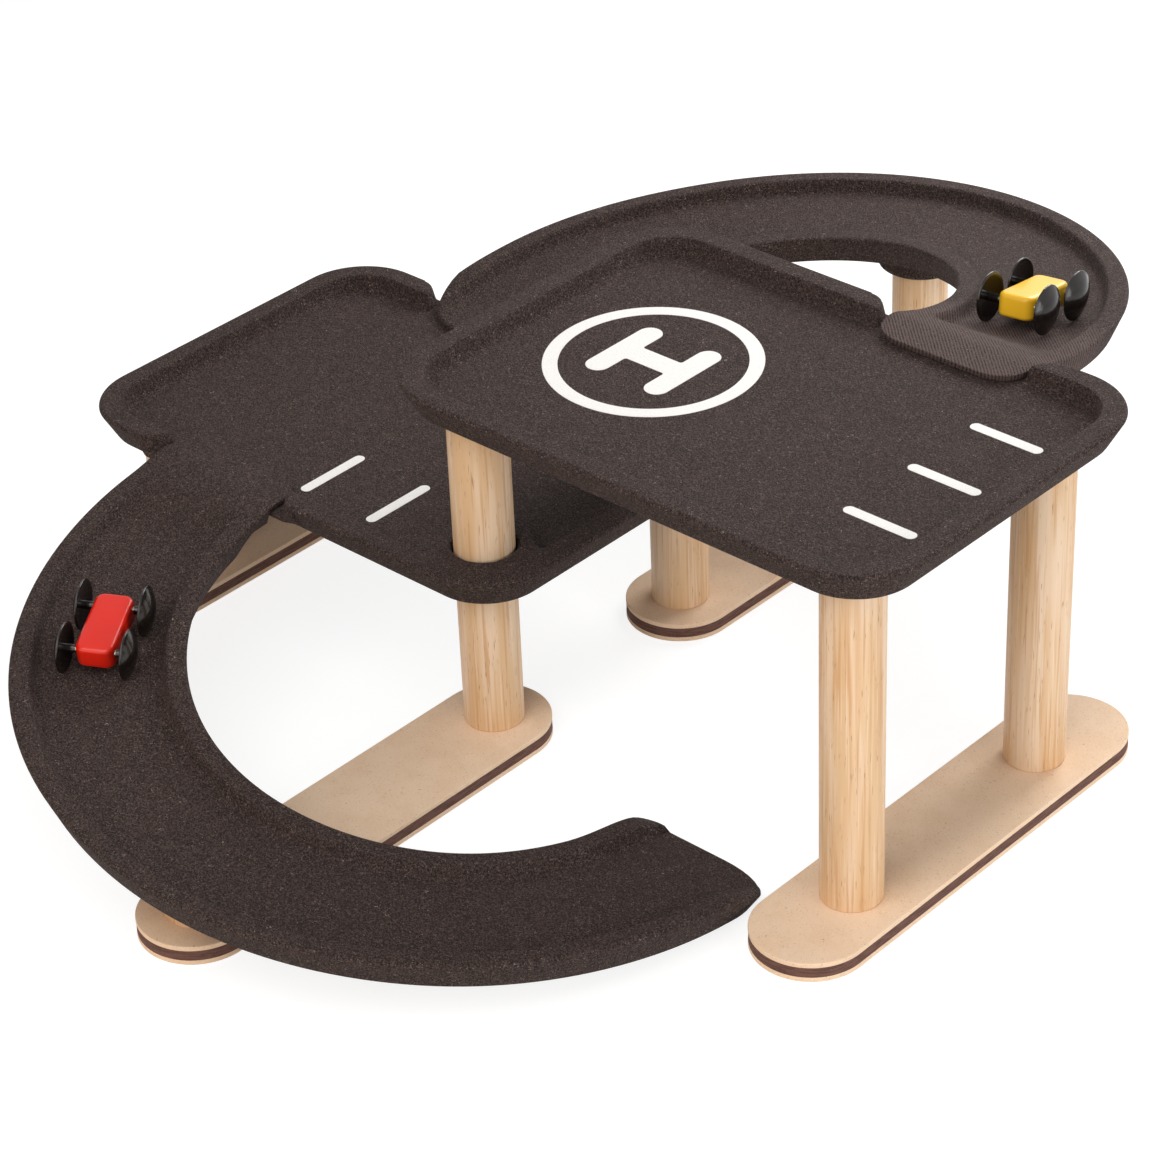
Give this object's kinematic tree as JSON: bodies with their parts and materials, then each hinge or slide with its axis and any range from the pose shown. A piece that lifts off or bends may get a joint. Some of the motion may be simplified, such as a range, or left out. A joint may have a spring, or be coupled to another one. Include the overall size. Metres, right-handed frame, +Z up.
{
  "type": "toy parking garage",
  "caption": "Toy parking garage: two offset round-cornered decks on wooden posts, joined by half-ring ramps, with small four-wheeled cars on the ramps.",
  "frame": {"origin": "on the ground, on the upright line about which the decks, posts and base plates repeat by a half turn", "axes": "+X from the lower deck towards the upper deck, +Y from the front ramp towards the rear ramp, +Z up"},
  "size_m": [0.438, 0.5226, 0.1729],
  "materials": {
    "board": "matt fibre board, brownish black",
    "timber": "sanded pale timber",
    "ply": "sanded pale board",
    "core": "raw dark board edge",
    "red_paint": "glossy red lacquer",
    "yellow_paint": "glossy yellow lacquer",
    "wheel_black": "glossy black",
    "axle_steel": "bright drawn wire"
  },
  "bodies": {
    "frame": {"front_base_bottom_ply": "ply", "front_base_core_ply": "core", "front_base_top_ply": "ply", "rear_base_bottom_ply": "ply", "rear_base_core_ply": "core", "rear_base_top_ply": "ply", "left_base_bottom_ply": "ply", "left_base_core_ply": "core", "left_base_top_ply": "ply", "right_base_bottom_ply": "ply", "right_base_core_ply": "core", "right_base_top_ply": "ply", "front_middle_post_lower": "timber", "front_middle_post_upper": "timber", "rear_middle_post_lower": "timber", "rear_middle_post_upper": "timber", "front_left_post": "timber", "rear_left_post": "timber", "front_right_post": "timber", "rear_right_post": "timber", "front_ramp_post": "timber", "rear_ramp_post": "timber", "lower_deck": "board", "upper_deck": "board", "front_ramp": "board", "rear_ramp": "board"},
    "red_car": {"red_car_body": "red_paint"},
    "red_car_front_wheelset": {"red_car_front_axle": "axle_steel", "red_car_front_left_wheel": "wheel_black", "red_car_front_right_wheel": "wheel_black"},
    "red_car_rear_wheelset": {"red_car_rear_axle": "axle_steel", "red_car_rear_left_wheel": "wheel_black", "red_car_rear_right_wheel": "wheel_black"},
    "yellow_car": {"yellow_car_body": "yellow_paint"},
    "yellow_car_front_wheelset": {"yellow_car_front_axle": "axle_steel", "yellow_car_front_left_wheel": "wheel_black", "yellow_car_front_right_wheel": "wheel_black"},
    "yellow_car_rear_wheelset": {"yellow_car_rear_axle": "axle_steel", "yellow_car_rear_left_wheel": "wheel_black", "yellow_car_rear_right_wheel": "wheel_black"}
  },
  "joints": [
    {"name": "red_car_drive", "type": "hinge", "parent": "frame", "child": "red_car", "pos_m": [0, -0.0975, 0.07389], "axis": [0.1174, -0.1407, 0.9831], "range_deg": [-5, 5]},
    {"name": "red_car_front_roll", "type": "hinge", "parent": "red_car", "child": "red_car_front_wheelset", "pos_m": [-0.0889, -0.19013, 0.07164], "axis": [0.8629, 0.5045, -0.0309], "continuous": true},
    {"name": "red_car_rear_roll", "type": "hinge", "parent": "red_car", "child": "red_car_rear_wheelset", "pos_m": [-0.10119, -0.16883, 0.07615], "axis": [0.8629, 0.5045, -0.0309], "continuous": true},
    {"name": "yellow_car_drive", "type": "hinge", "parent": "frame", "child": "yellow_car", "pos_m": [0, 0.0975, 0.15941], "axis": [-0.0664, 0.1819, 0.9811], "range_deg": [-5, 5]},
    {"name": "yellow_car_front_roll", "type": "hinge", "parent": "yellow_car", "child": "yellow_car_front_wheelset", "pos_m": [0.1213, 0.13137, 0.16177], "axis": [0.9921, 0.1165, 0.0455], "continuous": true},
    {"name": "yellow_car_rear_roll", "type": "hinge", "parent": "yellow_car", "child": "yellow_car_rear_wheelset", "pos_m": [0.11865, 0.15578, 0.15706], "axis": [0.9921, 0.1165, 0.0455], "continuous": true}
  ]
}
